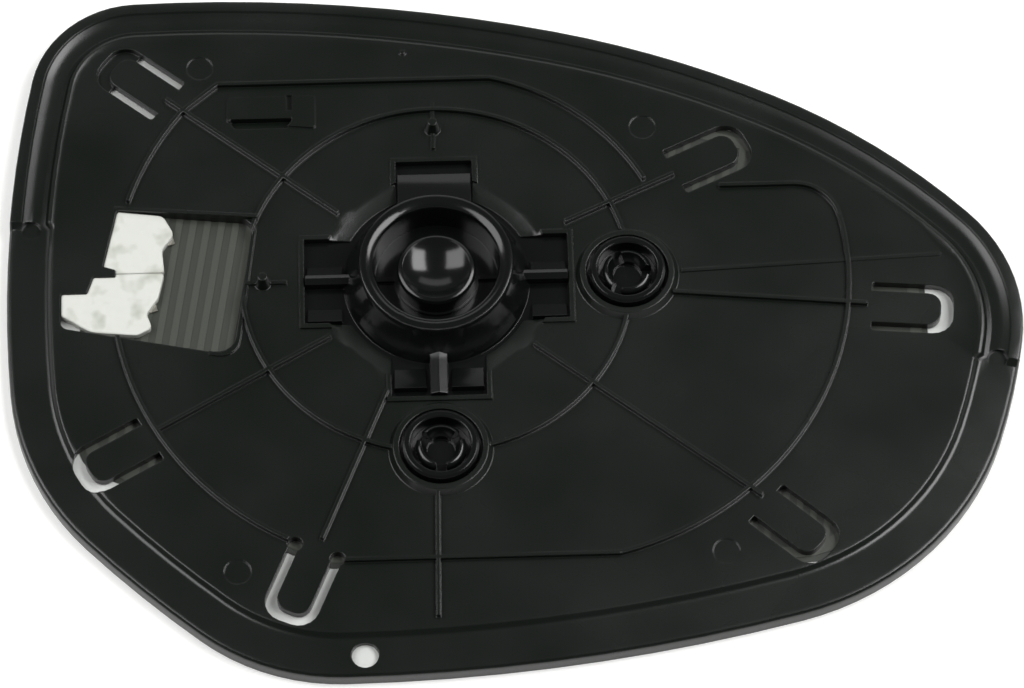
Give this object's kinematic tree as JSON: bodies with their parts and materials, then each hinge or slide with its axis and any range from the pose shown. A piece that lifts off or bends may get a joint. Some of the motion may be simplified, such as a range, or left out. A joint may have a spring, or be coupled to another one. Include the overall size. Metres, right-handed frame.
{
  "type": "car door mirror glass",
  "caption": "Left-hand door mirror glass seen from behind: heated glass on a ribbed moulded backing plate with a snap-in pivot socket and ball sockets for the adjuster.",
  "frame": {"origin": "on the axis of the pivot socket, in the plane that the rim's foot rests on", "axes": "+X along the mirror to its narrow tip, +Y up the mirror's upper side, +Z out of the back, towards the adjuster"},
  "size_m": [0.1765, 0.1331, 0.0105],
  "materials": {
    "plate_plastic": "fine moulded texture",
    "socket_plastic": "glossy",
    "mirror_glass": "mirror in front, pale coating behind",
    "film": "satin",
    "track": "printed, satin",
    "tinned_brass": "tinned",
    "potting": "cured compound"
  },
  "bodies": {
    "root": {"backing_plate": "plate_plastic", "pivot_socket": "socket_plastic", "right_rod_socket": "socket_plastic", "lower_rod_socket": "socket_plastic", "mirror_glass": "mirror_glass", "heater_film": "film", "upper_comb": "track", "lower_comb": "track", "upper_terminal": "tinned_brass", "lower_terminal": "tinned_brass", "upper_potting": "potting", "lower_potting": "potting"}
  },
  "joints": []
}
